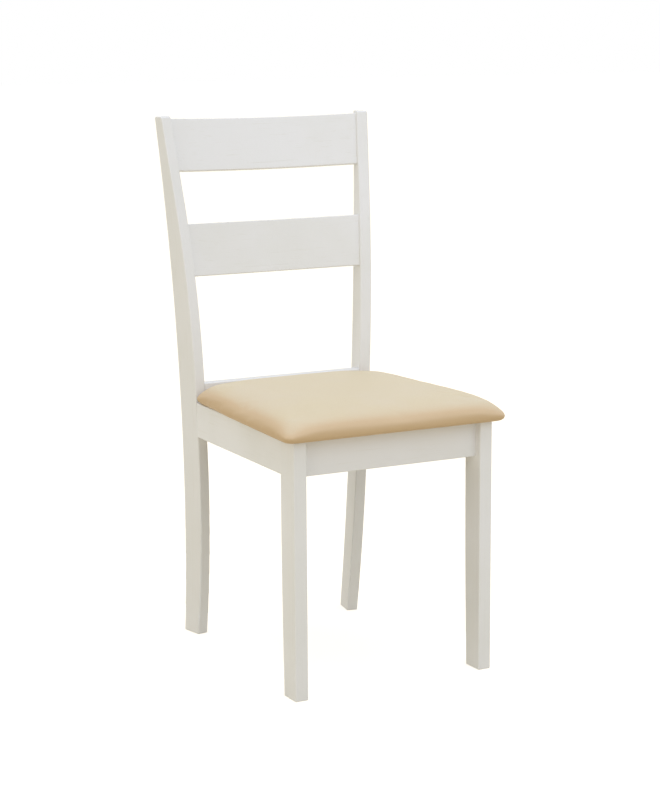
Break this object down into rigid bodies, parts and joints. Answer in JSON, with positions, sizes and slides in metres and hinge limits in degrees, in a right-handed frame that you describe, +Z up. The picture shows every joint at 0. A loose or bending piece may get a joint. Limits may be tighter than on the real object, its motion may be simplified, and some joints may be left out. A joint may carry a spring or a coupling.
{
  "type": "dining chair",
  "caption": "White painted wooden ladder-back dining chair with bent back slats, raked sabre-shaped rear posts and a crowned upholstered seat pad on a doweled apron frame.",
  "frame": {"origin": "on the floor, below the middle of the chair's bounding box", "axes": "+X to the sitter's left, +Y from the front of the seat towards the back, +Z up"},
  "size_m": [0.4054, 0.5009, 0.9049],
  "materials": {
    "painted_wood": "white satin paint over solid wood",
    "bare_wood": "bare sawn hardwood",
    "dowel_wood": "bare turned beech",
    "screw_steel": "zinc plated steel",
    "plywood": "bare plywood",
    "foam": "upholstery foam",
    "upholstery": "smooth matt beige upholstery",
    "lining": "black non-woven lining"
  },
  "bodies": {
    "root": {"front_leg_left": "painted_wood", "front_leg_right": "painted_wood", "rear_post_left": "painted_wood", "rear_post_right": "painted_wood", "front_apron": "painted_wood", "rear_apron": "painted_wood", "side_apron_left": "painted_wood", "side_apron_right": "painted_wood", "top_slat": "painted_wood", "middle_slat": "painted_wood", "corner_block_front_left": "bare_wood", "corner_block_front_right": "bare_wood", "corner_block_rear_left": "bare_wood", "corner_block_rear_right": "bare_wood", "front_apron_dowels": "dowel_wood", "rear_apron_dowels": "dowel_wood", "side_apron_dowels_left": "dowel_wood", "side_apron_dowels_right": "dowel_wood", "corner_block_screws": "screw_steel", "seat_screws": "screw_steel", "seat_board": "plywood", "seat_foam": "foam", "seat_cover": "upholstery", "bottom_cloth": "lining"}
  },
  "joints": []
}
